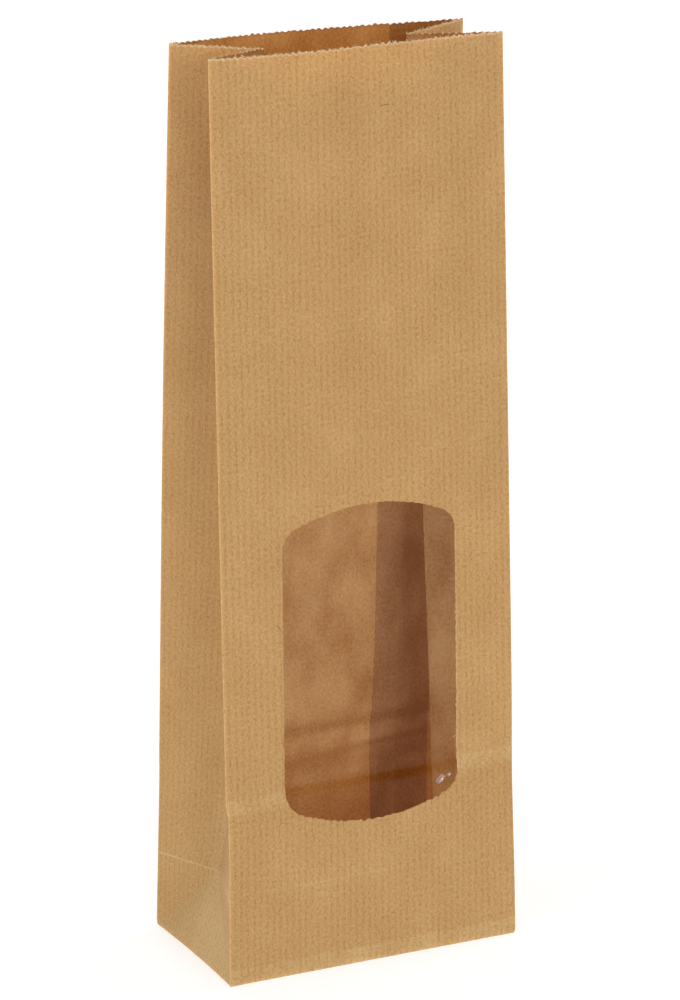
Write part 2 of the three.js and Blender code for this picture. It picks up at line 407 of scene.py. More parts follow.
def windowOutline(angles):
    form = windowCut
    rise, half, corner = form["archRise"], form["halfWidth"], form["cornerRadius"]
    radius = (half**2 + rise**2) / (2 * rise)
    turn = math.asin((half - corner) / radius)
    reach = (form["high"] - form["low"]) / 2
    top = [(radius * math.sin(a), reach - radius * (1 - math.cos(a))) for a in np.linspace(0, turn, 60)]
    rim, apex, side = top[-1], (half, reach - rise), (half, reach - rise - corner)
    for s in np.linspace(0, 1, 20)[1:]:
        blend = [(1 - s) ** 2 * p + 2 * s * (1 - s) * q + s**2 * r for p, q, r in zip(rim, apex, side)]
        top.append(tuple(blend))
    top += [(half, y) for y in np.linspace(top[-1][1], 0.0, 60)[1:]]
    quarter = np.array(top)
    bearing = np.arctan2(quarter[:, 0], quarter[:, 1])
    distance = np.hypot(quarter[:, 0], quarter[:, 1])
    folded = np.abs((angles + math.pi / 2) % math.pi - math.pi / 2)
    return np.interp(folded, bearing, distance)


# ring: mesh indices of the grid points round the patch, anticlockwise from outside.
def windowPatch(mesh, ring, inside, columnOf, rowOf):
    form = windowCut
    middle = wallLengths[0] / 2 + form["middle"]
    centre = np.array([middle, (form["low"] + form["high"]) / 2])
    start = np.stack([columnOf, rowOf], axis=-1)
    fine = 3
    share = np.tile(np.arange(fine) / fine, len(start))[:, None]
    coarse = np.repeat(start, fine, axis=0)
    following = np.repeat(np.roll(start, -1, axis=0), fine, axis=0)
    edge = coarse + (following - coarse) * share
    away = edge - centre
    angles = np.arctan2(away[:, 0], away[:, 1])
    reach = windowOutline(angles - form["lean"])
    unit = away / np.linalg.norm(away, axis=1, keepdims=True)
    reach = reach + windowRough(angles)
    cut = centre + unit * reach[:, None]
    rings = []
    far = np.linalg.norm(cut - edge, axis=1)
    for part in form["rings"] + (1 - form["rimFrayAndShadeWidth"] / far, 1.0):
        at = edge + (cut - edge) * np.reshape(part, (-1, 1))
        place = sheetPoint(at[:, 0], at[:, 1], inside)
        frayed = form["fray"] * np.clip(unit[:, 0], 0, 1) if np.ndim(part) == 0 and part == 1.0 else 0.0
        rings.append(mesh.add(place, at[:, 0], at[:, 1], frayed))
    look = insideFace if inside else outsideFace
    first = rings[0]
    count = len(ring)
    for i in range(count):
        here, after = ring[i], ring[(i + 1) % count]
        inner = [first[(i * fine + k) % (count * fine)] for k in range(fine + 1)]
        fan = [(here, inner[1], inner[0]), (here, after, inner[1])]
        fan += [(after, inner[2], inner[1]), (after, inner[3], inner[2])]
        for corners in fan:
            mesh.face(corners[::-1] if inside else corners, look)
    for outer, inner in zip(rings[:-1], rings[1:]):
        mesh.strip(outer, inner, look)
    return rings[-1], cut


# The die leaves an edge that wanders by hundredths of a millimetre, with a few nicks. The right
# side and the foot of the cut are rougher than the rest.
def windowRough(angles):
    rough = np.zeros(len(angles))
    for cycles, weight, phase in roughWaves:
        rough += weight * np.sin(cycles * angles + phase)
    for bearing, width, bite in nicks:
        gap = (angles - bearing + math.pi) % (2 * math.pi) - math.pi
        rough += bite * np.exp(-((gap / width) ** 2))
    toRough = smooth(np.cos(angles - windowCut["roughToward"]), -0.4, 0.6)
    return rough * (windowCut["calm"] + (1 - windowCut["calm"]) * toRough)


# Waves round the cut, then small bites: more at the right and the foot than at the left
roughWaves = [
    (int(cycles), windowCut["rough"] * weight, phase)
    for cycles, weight, phase in zip(
        rng.integers(20, 150, 9), rng.uniform(0.2, 0.6, 9), rng.uniform(0, 6.28, 9)
    )
]
nicks = [(bearing, 0.006, rng.uniform(0.12, 0.3)) for bearing in rng.uniform(0.5, 2.9, 16)]
nicks += [(bearing, 0.006, rng.uniform(0.08, 0.2)) for bearing in rng.uniform(-3.1, 0.4, 8)]


# The foot: rings drawn in from the wall to the bag's middle line. Below, the front flap's tip
# lies over the back flap, and both lie over the folded sides.

footFlap = {"tipWidth": 18.8, "tipReach": 6.0, "backUp": 0.15, "sideUp": 0.3, "floorSideUp": 0.15}


def footFan(mesh, ring, along, walls, inside):
    look = insideFace if inside else outsideFace
    startUp = bagForm["footFloor"] if inside else 0.0
    base = sheetPoint(along, np.full(len(along), startUp), inside)
    base[:, 2] = startUp
    thin = bagForm["sheet"] if inside else 0.0
    half = (bagForm["width"] / 2 + bagForm["footBulge"] - thin, bagForm["depth"] / 2 - thin)
    corners = np.array([0, wallStarts[1], wallStarts[3], wallStarts[4], girth])
    toCorner = np.abs(along[:, None] - corners).min(axis=1)
    atCorner = toCorner < 1e-6
    front = (walls == 0) | (atCorner & (along < wallStarts[2]))
    back = (walls == 3) | (atCorner & (along > wallStarts[2]))
    sides = ~(front | back)
    tipShare = footFlap["tipWidth"] / 2 / (half[0] - (half[1] - footFlap["tipReach"]))
    spread = base[:, 0] / half[0]
    even = spread.copy()  # the same for the front and the back, so that they meet in the middle
    even[front] = along[front] % girth / (wallLengths[0] / 2) - 1
    even[back] = 1 - (along[back] - wallStarts[3]) / (wallLengths[3] / 2)
    tipFrom = half[1] - footFlap["tipReach"]
    # Rings, close together at the foot's edge and where the front flap's tip starts
    insets = [0.0, 0.12, 0.24, 0.36, 1.5, 4, 7, 10, 12, tipFrom - 0.03, tipFrom, 15.5, 17, 18.5]
    for inset in insets + [half[1]]:
        reach = half[0] - inset
        place = base.copy()
        share = spread + (even - spread) * min(inset / 4.0, 1.0)
        if inset >= tipFrom and not inside:
            edge = (footFlap["tipWidth"] / 2 + inset - tipFrom) / reach
            panels = front | back
            size = np.abs(even[panels])
            near = size * edge / tipShare
            far = edge + (size - tipShare) * (1 - edge) / (1 - tipShare)
            share[panels] = np.sign(even[panels]) * np.where(size <= tipShare, near, far)
        share = np.clip(share, -1.0, 1.0) if inset > 1 else share
        if inset == half[1]:
            share[sides] = np.sign(share[sides])
        place[:, 0] = share * reach
        place[:, 1] = base[:, 1] * (1 - inset / half[1])
        if inside:
            place[sides, 2] += footFlap["floorSideUp"] * smooth(toCorner[sides] + inset * 0.6, 0.1, 2)
        else:
            place[sides, 2] = footFlap["sideUp"] * smooth(toCorner[sides] + inset * 0.6, 0.1, 2)
            onTip = (inset >= tipFrom) & (np.abs(even) <= tipShare + 1e-6)
            onTip = onTip | (inset == half[1])
            place[back, 2] = np.where(onTip, 0.0, footFlap["backUp"])[back]
            pull = footPull(inset)
            place[:, 2] += pull
            place[front, 1] += pull
            place[back, 1] -= pull
            place[sides, 0] -= np.sign(base[sides, 0]) * pull
        sheetAlong = along.copy()
        sheetAlong[front] = wallLengths[0] / 2 + place[front, 0]
        sheetAlong[back] = wallStarts[3] + wallLengths[3] / 2 - place[back, 0]
        right = sides & (base[:, 0] > 0)
        left = sides & (base[:, 0] < 0)
        sheetAlong[right] = wallStarts[2] + place[right, 1]
        sheetAlong[left] = wallStarts[5] - place[left, 1]
        inner = mesh.add(place, sheetAlong, np.full(len(along), -inset))
        mesh.strip(inner, ring, look)
        ring = inner


# Rounds the paper over the foot's edge.
def footPull(away):
    radius = bagForm["footRadius"]
    return radius * (np.maximum(radius - away, 0) / (2 * radius)) ** 2


def buildPaper(materials):
    mesh = PaperMesh()
    along, drop = sheetColumns()
    rows = sheetRows()
    walls = np.clip(np.searchsorted(wallStarts, along, side="right") - 1, 0, 5)
    legs = np.isin(walls, (1, 2, 4, 5))
    diagonal = np.where(np.isin(walls, (1, 4)), 1, -1) * np.where(legs, 1, 0)

    left, right, low, high = windowCut["margin"]
    middle = wallLengths[0] / 2
    nearest = lambda values, value: int(np.argmin(np.abs(values - value)))
    firstColumn, lastColumn = nearest(along, middle + left), nearest(along, middle + right)
    firstRow, lastRow = nearest(rows, low), nearest(rows, high)

    def side(inside):
        look = insideFace if inside else outsideFace
        rings = []
        for up in rows:
            if inside and up < bagForm["footFloor"] + 0.1:
                rings.append(None)
                continue
            level = np.full(len(along), up)
            rings.append(mesh.add(sheetPoint(along, level, inside), along, level))
        for back, frayed in ((mouthCut["rimFrayAndShadeWidth"], 0.0), (0.0, 1.0)):
            level = bagForm["height"] - drop - back
            rings.append(mesh.add(sheetPoint(along, level, inside), along, level, frayed))
        for row in range(len(rings) - 1):
            if rings[row] is None:
                continue
            skip = None
            if firstRow <= row < lastRow:
                skip = np.zeros(len(along), bool)
                skip[firstColumn:lastColumn] = True
            turn = diagonal if row < len(rows) and rows[row] < triangleUp else None
            mesh.strip(rings[row], rings[row + 1], look, turn, skip)
        columns = np.arange(firstColumn, lastColumn + 1)
        border = [(c, firstRow) for c in columns[:-1]]
        border += [(lastColumn, r) for r in range(firstRow, lastRow)]
        border += [(c, lastRow) for c in columns[:0:-1]]
        border += [(firstColumn, r) for r in range(lastRow, firstRow, -1)]
        ring = np.array([rings[r][c] for c, r in border])
        columnOf = np.array([along[c] for c, r in border])
        rowOf = np.array([rows[r] for c, r in border])
        rim, cut = windowPatch(mesh, ring, inside, columnOf, rowOf)
        return rings, rim, cut

    outer, outerRim, cut = side(False)
    inner, innerRim, _ = side(True)
    mesh.strip(outer[-1], inner[-1], cutFace)
    for i in range(len(outerRim)):
        j = (i + 1) % len(outerRim)
        mesh.face((outerRim[i], outerRim[j], innerRim[j], innerRim[i]), outsideFace)
    footFan(mesh, outer[0], along, walls, False)
    footFan(mesh, next(ring for ring in inner if ring is not None), along, walls, True)
    mouthLine = sheetPoint(along, bagForm["height"] - drop, False)
    mouthLine = (mouthLine + sheetPoint(along, bagForm["height"] - drop, True)) / 2
    windowLine = sheetPoint(cut[:, 0], cut[:, 1], False)
    windowLine = (windowLine + sheetPoint(cut[:, 0], cut[:, 1], True)) / 2
    return mesh.object("paper_bag_visual", materials), mouthLine, windowLine


# Clear film, glued behind the window

filmForm = {
    "halfWidth": 28.8,
    "low": 26.0,
    "high": 112.5,
    "gap": 0.02,  # glue between the paper and the film
    "thickness": 0.05,
    "cell": 0.95,
    "fineCell": 0.1,
    "finePatch": (14.6, 20.6, 37.6, 42.6),  # finely meshed part, round the creases
    "ripple": 0.05,
    # small creases: across, up, half width, half length, depth; they lean to the right
    "creases": [(16.3, 39.5, 0.24, 0.55, 0.16), (16.9, 39.8, 0.26, 0.6, 0.2), (18.8, 40.4, 0.17, 0.3, 0.1)],
    "creaseLean": 38.0,
}


def filmSteps(low, high, fineLow, fineHigh):
    form = filmForm
    steps = [np.linspace(low, fineLow, round((fineLow - low) / form["cell"]) + 1)[:-1]]
    steps.append(np.linspace(fineLow, fineHigh, round((fineHigh - fineLow) / form["fineCell"]) + 1))
    steps.append(np.linspace(fineHigh, high, round((high - fineHigh) / form["cell"]) + 1)[1:])
    return np.concatenate(steps)


def buildFilm(materials):
    form = filmForm
    middle = wallLengths[0] / 2 + windowCut["middle"]
    left, right, low, high = form["finePatch"]
    along = middle + filmSteps(-form["halfWidth"], form["halfWidth"], left, right)
    up = filmSteps(form["low"], form["high"], low, high)
    across, upward = len(along) - 1, len(up) - 1
    gridAlong, gridUp = [grid.ravel() for grid in np.meshgrid(along, up)]
    paper = sheetPoint(gridAlong, gridUp, True)
    a, v = gridAlong - middle, gridUp
    # The film ripples a little, and lies flat where it is glued
    ripple = np.sin(a / 4.1 + 0.7) * np.sin(v / 9.3 + 0.3) + 0.6 * np.sin(a / 1.9 + v / 13.0)
    edge = np.minimum(form["halfWidth"] - np.abs(a), np.minimum(v - form["low"], form["high"] - v))
    depth = form["gap"] + form["ripple"] * (1.7 + ripple) * smooth(edge, 4.0, 12.0)
    lean = math.radians(form["creaseLean"])
    creased = np.zeros(len(a))
    for at, height, wide, tall, deep in form["creases"]:
        acrossCrease = (a - at) * math.cos(lean) - (v - height) * math.sin(lean)
        alongCrease = (a - at) * math.sin(lean) + (v - height) * math.cos(lean)
        depth += deep * np.exp(-((acrossCrease / wide) ** 2) - (alongCrease / tall) ** 2)
        creased = np.maximum(creased, (np.abs(acrossCrease) < 2 * wide) * (np.abs(alongCrease) < 1.3 * tall))
    creased = creased.reshape(upward + 1, across + 1)
    mesh = PaperMesh()
    faceFront = paper + np.stack([0 * depth, depth, 0 * depth], axis=-1)
    faceBack = faceFront + [0, form["thickness"], 0]
    front = mesh.add(faceFront, gridAlong, gridUp).reshape(upward + 1, across + 1)
    back = mesh.add(faceBack, gridAlong, gridUp).reshape(upward + 1, across + 1)
    for r in range(upward):
        for c in range(across):
            look = int(creased[r : r + 2, c : c + 2].max())  # 1 is the creased film
            mesh.face((front[r, c], front[r, c + 1], front[r + 1, c + 1], front[r + 1, c]), look)
            mesh.face((back[r, c], back[r + 1, c], back[r + 1, c + 1], back[r, c + 1]), 0)
    rim = lambda grid: np.concatenate([grid[0, :-1], grid[:-1, -1], grid[-1, :0:-1], grid[:0:-1, 0]])
    mesh.strip(rim(back), rim(front), 0)
    return mesh.object("window_film_visual", materials)


# Materials

calc, mapRange, mapping = "ShaderNodeMath", "ShaderNodeMapRange", "ShaderNodeMapping"
noise, parted, mix = "ShaderNodeTexNoise", "ShaderNodeSeparateXYZ", "ShaderNodeMix"
principled, mixShader = "ShaderNodeBsdfPrincipled", "ShaderNodeMixShader"
surfaceOut = "ShaderNodeOutputMaterial"
add, subtract, multiply = {"operation": "ADD"}, {"operation": "SUBTRACT"}, {"operation": "MULTIPLY"}
multiplyAdd, absolute = {"operation": "MULTIPLY_ADD"}, {"operation": "ABSOLUTE"}
wrap, pingPong, within = {"operation": "WRAP"}, {"operation": "PINGPONG"}, {"operation": "COMPARE"}
above, under = {"operation": "GREATER_THAN"}, {"operation": "LESS_THAN"}
eased = {"interpolation_type": "SMOOTHSTEP"}
blended, tinted = {"data_type": "RGBA"}, {"data_type": "RGBA", "blend_type": "MULTIPLY"}


def linear(hexColour):
    channels = [int(hexColour[i : i + 2], 16) / 255 for i in (1, 3, 5)]
    return tuple(c / 12.92 if c <= 0.04045 else ((c + 0.055) / 1.055) ** 2.4 for c in channels) + (1.0,)


# An input is a value, a socket, or a node whose first output is meant.
def addNode(tree, kind, settings=None, inputs=None):
    new = tree.nodes.new(kind)
    for name, value in (settings or {}).items():
        setattr(new, name, value)
    for socket, value in (inputs or {}).items():
        source = value.outputs[0] if isinstance(value, bpy.types.Node) else value
        if isinstance(source, bpy.types.NodeSocket):
            tree.links.new(source, new.inputs[socket])
        else:
            new.inputs[socket].default_value = source
    return new


def newMaterial(name):
    material = bpy.data.materials.new(name)
    material.use_nodes = True
    material.node_tree.nodes.clear()
    return material, material.node_tree


# Where a value is a pair, the first is for the outer side of the paper and the second for the inner
kraftLook = {
    "dark": ("#ba7d31", "#776635"),
    "light": ("#ead49b", "#b9b98c"),
    "rimFrayAndShadeColour": ("#f6e3bf", "#6b3f1c"),  # frayed pale outside, painted shade inside
    "rimFrayAndShadeShare": (0.85, 0.8),
    # colour of the upright folds: worn paler, and a painted highlight
    "fold": "#e2cfa6",
    "fibreDark": "#6f4a2a",
    "fibreWarm": "#a06a33",
    "fibreLight": "#ead2a6",
    "glowDark": "#ecaf6c",  # light that comes through the sheet
    "glowLight": "#ffca88",
    "glowShare": 0.42,
    "glowDouble": 0.7,  # share of it left where the sheet lies double
    "footUp": 0.5,  # below this the foot's folds lie double
    "overlapPaintedShade": "#f6d6d6",  # painted shade: how much redder and darker the overlap is painted from inside, for the orange light that falls there
    "mouthPaintedShade": "#ffe6cd",  # the inner side is painted browner near the mouth, as the shade there, lit only by orange light through the sheet
    "mouthFrom": (125.0, 185.0),  # heights at which that starts and is full
    "roughness": 0.62,
    "ribPitch": 1.55,
    "ribWaver": 0.55,
    "ribSharp": 1.5,
    "ribBreaks": (0.36, 0.62, 1.5, 0.3),  # strength of the ribs where the mottle is low and high
    "ribsOnGusset": 0.75,
    "ribTone": (0.15, 0.02),
    "patternTone": {"specks": (1.1, 1.1), "mottle": (0.72, 1.05), "cloud": (0.22, 1.3)},
    "foldWearAndHighlight": (0.05, 0.3, 0.08),  # of the upright folds, worn and painted as a highlight: mm to full and to none, share of the fold's colour
    "pressed": (0.1, 0.5, 0.72),  # the same for the light that a pressed fold lets through
    "bump": 0.009,  # height of a rib, and how far fibres and mottle go down, as a share of it
    "fibreDown": -0.8,
    "mottleDown": -1.1,
}

noisePatterns = {  # cells per mm along and up the sheet, detail, roughness, shift on the inner side
    "waver": ((0.25, 0.05, 1), 2.0, 0.5, 0.0),
    "mottle": ((1.9, 1.4, 1), 2.0, 0.62, 3.0),
    "cloud": ((0.11, 0.07, 1), 3.0, 0.55, 0.0),
    "specks": ((4.6, 4.6, 1), 1.0, 0.7, 0.0),
}


# Ribbed brown kraft: unbleached sulphate paper, machine glazed and pressed with fine ribs along
# the web. It gives the eye close upright lines, broken by a mottle of fibres, and some long ones.
def kraftMaterial(name, inside):
    look = kraftLook
    material, tree = newMaterial(name)
    sheetMap = addNode(tree, "ShaderNodeUVMap", {"uv_map": "sheet"})
    place = addNode(tree, mapping, inputs={
        "Vector": sheetMap, "Scale": (uvSpan, uvSpan, 1), "Location": (0, -uvBelow, 0)})
    parts = addNode(tree, parted, inputs={0: place})
    along, up = parts.outputs[0], parts.outputs[1]
    pattern = {}
    for kind, (scale, detail, rough, shift) in noisePatterns.items():
        spot = addNode(tree, mapping, inputs={
            "Vector": place, "Scale": scale, "Location": (shift if inside else 0.0, 0, 0)})
        pattern[kind] = addNode(tree, noise, {"noise_dimensions": "2D"}, {
            "Vector": spot, "Scale": 1.0, "Detail": detail, "Roughness": rough})

    # The same half of the girth twice: a panel up to 70 mm, then a gusset
    half = girth / 2
    wrapped = addNode(tree, calc, wrap, {0: along, 1: half, 2: 0.0})
    gusset = addNode(tree, calc, subtract, {0: wrapped, 1: float(wallStarts[1])})
    onGusset = addNode(tree, calc, above, {0: gusset, 1: 0.0})

    # Ribs: narrow darker lines that waver a little and break up
    shifted = addNode(tree, calc, multiplyAdd, {0: pattern["waver"], 1: look["ribWaver"], 2: along})
    phase = addNode(tree, calc, multiply, {0: shifted, 1: 2 * math.pi / look["ribPitch"]})
    wave = addNode(tree, calc, {"operation": "COSINE"}, {0: phase})
    lifted = addNode(tree, calc, multiplyAdd, {0: wave, 1: 0.5, 2: 0.5})
    line = addNode(tree, calc, {"operation": "POWER"}, {0: lifted, 1: look["ribSharp"]})
    low, high, strong, weak = look["ribBreaks"]
    breaks = addNode(tree, mapRange, inputs={0: pattern["mottle"], 1: low, 2: high, 3: strong, 4: weak})
    ribs = addNode(tree, calc, multiply, {0: line, 1: breaks})
    weaker = addNode(tree, mapRange, inputs={0: onGusset, 3: 1.0, 4: look["ribsOnGusset"]})
    ribs = addNode(tree, calc, multiply, {0: ribs, 1: weaker})

    # Ribs, specks, mottle of fibres, clouds of more and less pulp, marks of folding, and painted light and
    # shade at the folds and the gussets
    ribTone = look["ribTone"][inside]
    tone = addNode(tree, calc, multiplyAdd, {0: ribs, 1: -ribTone, 2: 0.5 + ribTone * 0.35})
    for kind, strength in look["patternTone"].items():
        spread = addNode(tree, calc, subtract, {0: pattern[kind], 1: 0.5})
        settings = {"operation": "MULTIPLY_ADD", "use_clamp": kind == "cloud"}
        tone = addNode(tree, calc, settings, {0: spread, 1: strength[inside], 2: tone})
    tone = foldMarksAndPaintedLight(tree, along, up, pattern["cloud"], tone, inside)
    tone = gussetPaintedLight(tree, gusset, onGusset, up, tone)
    dark, light = linear(look["dark"][inside]), linear(look["light"][inside])
    colour = addNode(tree, mix, blended, {0: tone, 6: dark, 7: light}).outputs[2]

    # Long fibres lie in the surface at all angles, some dark and some pale
    height = ribs
    for cell, chance, size, shade, offset in fibreKinds[:1] if inside else fibreKinds:
        fibre = fibreMask(tree, place, cell, chance, size, offset)
        colour = addNode(tree, mix, blended, {0: fibre, 6: colour, 7: linear(look[shade])}).outputs[2]
        height = addNode(tree, calc, multiplyAdd, {0: fibre, 1: look["fibreDown"], 2: height})
    height = addNode(tree, calc, multiplyAdd, {0: pattern["mottle"], 1: look["mottleDown"], 2: height})

    # The upright folds are rubbed paler, and painted paler still as a highlight where the rounded fold
    # catches the light
    toSide = addNode(tree, calc, absolute, {0: gusset})
    toEnd = addNode(tree, calc, pingPong, {0: wrapped, 1: half / 2})
    toFold = addNode(tree, calc, {"operation": "MINIMUM"}, {0: toSide, 1: toEnd})
    full, none, most = look["foldWearAndHighlight"]
    wornAndHighlit = addNode(tree, mapRange, inputs={0: toFold, 1: full, 2: none, 3: most, 4: 0.0})
    colour = addNode(tree, mix, blended, {0: wornAndHighlit, 6: colour, 7: linear(look["fold"])}).outputs[2]

    # Along the cut edges the outside is painted pale as frayed fibres, and the inside is painted dark as
    # shade
    fray = addNode(tree, "ShaderNodeAttribute", {"attribute_name": "frayed"})
    rimFrayShadeShare = addNode(tree, calc, multiply, {0: fray.outputs["Fac"], 1: look["rimFrayAndShadeShare"][inside]})
    rimFrayShadeColour = linear(look["rimFrayAndShadeColour"][inside])
    colour = addNode(tree, mix, blended, {0: rimFrayShadeShare, 6: colour, 7: rimFrayShadeColour}).outputs[2]

    outerEdge, innerEdge = bagForm["seam"]
    overlap = addNode(tree, calc, within, {
        0: along, 1: (outerEdge + innerEdge) / 2, 2: (innerEdge - outerEdge) / 2})
    # Inside, the overlap and the paper near the mouth are painted redder as orange shade
    if inside:
        starts, full = look["mouthFrom"]
        nearMouth = addNode(tree, mapRange, eased, {0: up, 1: starts, 2: full})
        for share, tint in ((overlap, "overlapPaintedShade"), (nearMouth, "mouthPaintedShade")):
            tintColour = linear(look[tint])
            colour = addNode(tree, mix, tinted, {0: share, 6: colour, 7: tintColour}).outputs[2]

    fine = addNode(tree, "ShaderNodeBump", {"invert": True}, {
        "Strength": 1.0, "Distance": look["bump"] * mm, "Height": height})
    paperShader = addNode(tree, principled, inputs={
        "Base Color": colour, "Roughness": look["roughness"], "IOR": 1.45, "Specular IOR Level": 0.25,
        "Normal": fine})
    dark, light = linear(look["glowDark"]), linear(look["glowLight"])
    glowColour = addNode(tree, mix, blended, {0: tone, 6: dark, 7: light}).outputs[2]
    glow = addNode(tree, "ShaderNodeBsdfTranslucent", inputs={"Color": glowColour, "Normal": fine})

    # Less light comes through the glued overlap, the folded foot and the pressed folds
    foot = addNode(tree, calc, under, {0: up, 1: look["footUp"]})
    double = addNode(tree, calc, {"operation": "MAXIMUM"}, {0: overlap, 1: foot})
    single = look["glowShare"]
    share = addNode(tree, mapRange, inputs={0: double, 3: single, 4: single * look["glowDouble"]})
    full, none, most = look["pressed"]
    pressed = addNode(tree, mapRange, inputs={0: toFold, 1: full, 2: none, 3: most, 4: 1.0})
    share = addNode(tree, calc, multiply, {0: share, 1: pressed})
    mixed = addNode(tree, mixShader, inputs={0: share, 1: paperShader, 2: glow})
    addNode(tree, surfaceOut, inputs={"Surface": mixed})
    return material


# Marks at the folds, added to the tone of the paper: a few crease lines, and painted light and painted shade
# where the folded paper tilts towards and away from the light, painted bounce light along the foot, and a
# painted shadow below the window inside
foldMarkAndPaintedLightKinds = (
    [  # outside: from and to along the sheet, up, rise to the right, half width, softness, strength
        (0, 70, 40.9, 0.03, 1.7, 0.5, 0.12),  # painted highlight: pale band where the foot folds up flat and the paper tilts up to the light
        # painted shade just below that band
        (0, 70, 37.2, 0.03, 0.9, 1.0, -0.06),
        (0, 70, 20.8, 0.0, 0.25, 0.3, 0.07),
        (0, 70, 0.0, 0.0, 3.75, 0.25, 0.13),  # paler strip along the foot, front and back: painted bounce light from the floor
        (110, 180, 0.0, 0.0, 3.75, 0.25, 0.13),
        # painted highlight on the back panel's folded band
        (110, 180, 39.0, 0.0, 1.9, 0.6, 0.16),
        (70, 110, 20.0, 0.0, 0.16, 0.16, 0.30),
        (180, 202, 18.4, 0.085, 0.15, 0.14, 0.36),
        # painted light on the left gusset's front leg, round the tip of the foot's triangle
        (200, 220, 20.2, -0.03, 1.0, 1.4, 0.13),
    ],
    [  # inside, on the back panel: painted highlight of the folded band, painted shade lines below and above it, painted shadow of the window's lower edge low down, and a painted lighter band within that shadow
        (110, 180, 39.6, -0.04, 1.9, 0.8, 0.2),
        (110, 180, 37.7, -0.098, 0.8, 0.9, -0.26),
        (110, 180, 42.8, -0.02, 1.1, 1.3, -0.24),
        (110, 180, 0.0, 0.0, 34.5, 1.5, -0.12),
        (110, 180, 30.6, -0.02, 0.9, 1.5, 0.16),
    ],
)

softMarksAndPaintedLight = {
    "uneven": (0.3, 0.7, 0.45, 1.5),  # strength of a fold's mark where the clouds are low and high
    "pocketShade": (115.5, 4.0, 6.2, -0.2),  # painted shade: middle along the sheet, half width to full and none, strength
    "triangle": (0.9, 0.12),  # painted light: softness, strength
    "leg": (14.0, 21.0, 31.0, 40.0, 0.14),  # painted light: across the gusset from and to, up to full and none, strength
}


def foldMarksAndPaintedLight(tree, along, up, cloud, tone, inside):
    low, high, faint, strong = softMarksAndPaintedLight["uneven"]
    uneven = addNode(tree, mapRange, inputs={0: cloud, 1: low, 2: high, 3: faint, 4: strong})
    for start, end, height, rise, half, soft, strength in foldMarkAndPaintedLightKinds[inside]:
        level = addNode(tree, calc, multiplyAdd, {0: along, 1: -rise, 2: up})
        gap = addNode(tree, calc, subtract, {0: level, 1: height - rise * start})
        gap = addNode(tree, calc, absolute, {0: gap})
        band = addNode(tree, mapRange, eased, {
            0: gap, 1: max(half - soft, 0.0), 2: half + soft, 3: strength, 4: 0.0})
        here = addNode(tree, calc, within, {0: along, 1: (start + end) / 2, 2: (end - start) / 2})
        mark = addNode(tree, calc, multiply, {0: band, 1: here})
        tone = addNode(tree, calc, multiplyAdd, {0: mark, 1: uneven, 2: tone})
    if not inside:
        return tone

    # Beside the right fold, in the pocket behind the gusset's crease, the back panel is painted darker as
    # shade
    middle, full, none, strength = softMarksAndPaintedLight["pocketShade"]
    gap = addNode(tree, calc, subtract, {0: along, 1: middle})
    gap = addNode(tree, calc, absolute, {0: gap})
    pocketShade = addNode(tree, mapRange, eased, {0: gap, 1: full, 2: none, 3: strength, 4: 0.0})
    return addNode(tree, calc, add, {0: pocketShade, 1: tone})


# The triangle at the foot of each gusset, which tilts up to the light, is painted paler as light, and so is
# one leg of the gusset near its crease, low down.
def gussetPaintedLight(tree, gusset, onGusset, up, tone):
    soft, strength = softMarksAndPaintedLight["triangle"]
    inward = addNode(tree, calc, pingPong, {0: gusset, 1: triangleUp})
    below = addNode(tree, calc, subtract, {0: inward, 1: up})
    paintedTriangleLight = addNode(tree, mapRange, eased, {0: below, 1: -soft, 2: soft, 3: 0.0, 4: strength})
    paintedTriangleLight = addNode(tree, calc, multiply, {0: paintedTriangleLight, 1: onGusset})
    tone = addNode(tree, calc, add, {0: paintedTriangleLight, 1: tone})
    start, end, full, none, strength = softMarksAndPaintedLight["leg"]
    leg = addNode(tree, mapRange, eased, {0: gusset, 1: start, 2: end})
    low = addNode(tree, mapRange, eased, {0: up, 1: full, 2: none, 3: strength, 4: 0.0})
    paintedLegLight = addNode(tree, calc, multiply, {0: leg, 1: low})
    return addNode(tree, calc, {"operation": "ADD", "use_clamp": True}, {0: paintedLegLight, 1: tone})


fibreShape = {"curl": 1.6, "soft": (0.5, 1.9), "taper": (0.7, 1.0), "strength": 0.9}
fibreKinds = [  # cell in mm, share of cells with a fibre, half length and half width in mm, shade, shift
    (4.4, 0.22, (0.8, 0.035), "fibreDark", 0.0),
    (2.1, 0.6, (0.5, 0.036), "fibreWarm", 17.0),
    (3.6, 0.24, (0.7, 0.03), "fibreLight", 31.0),
]


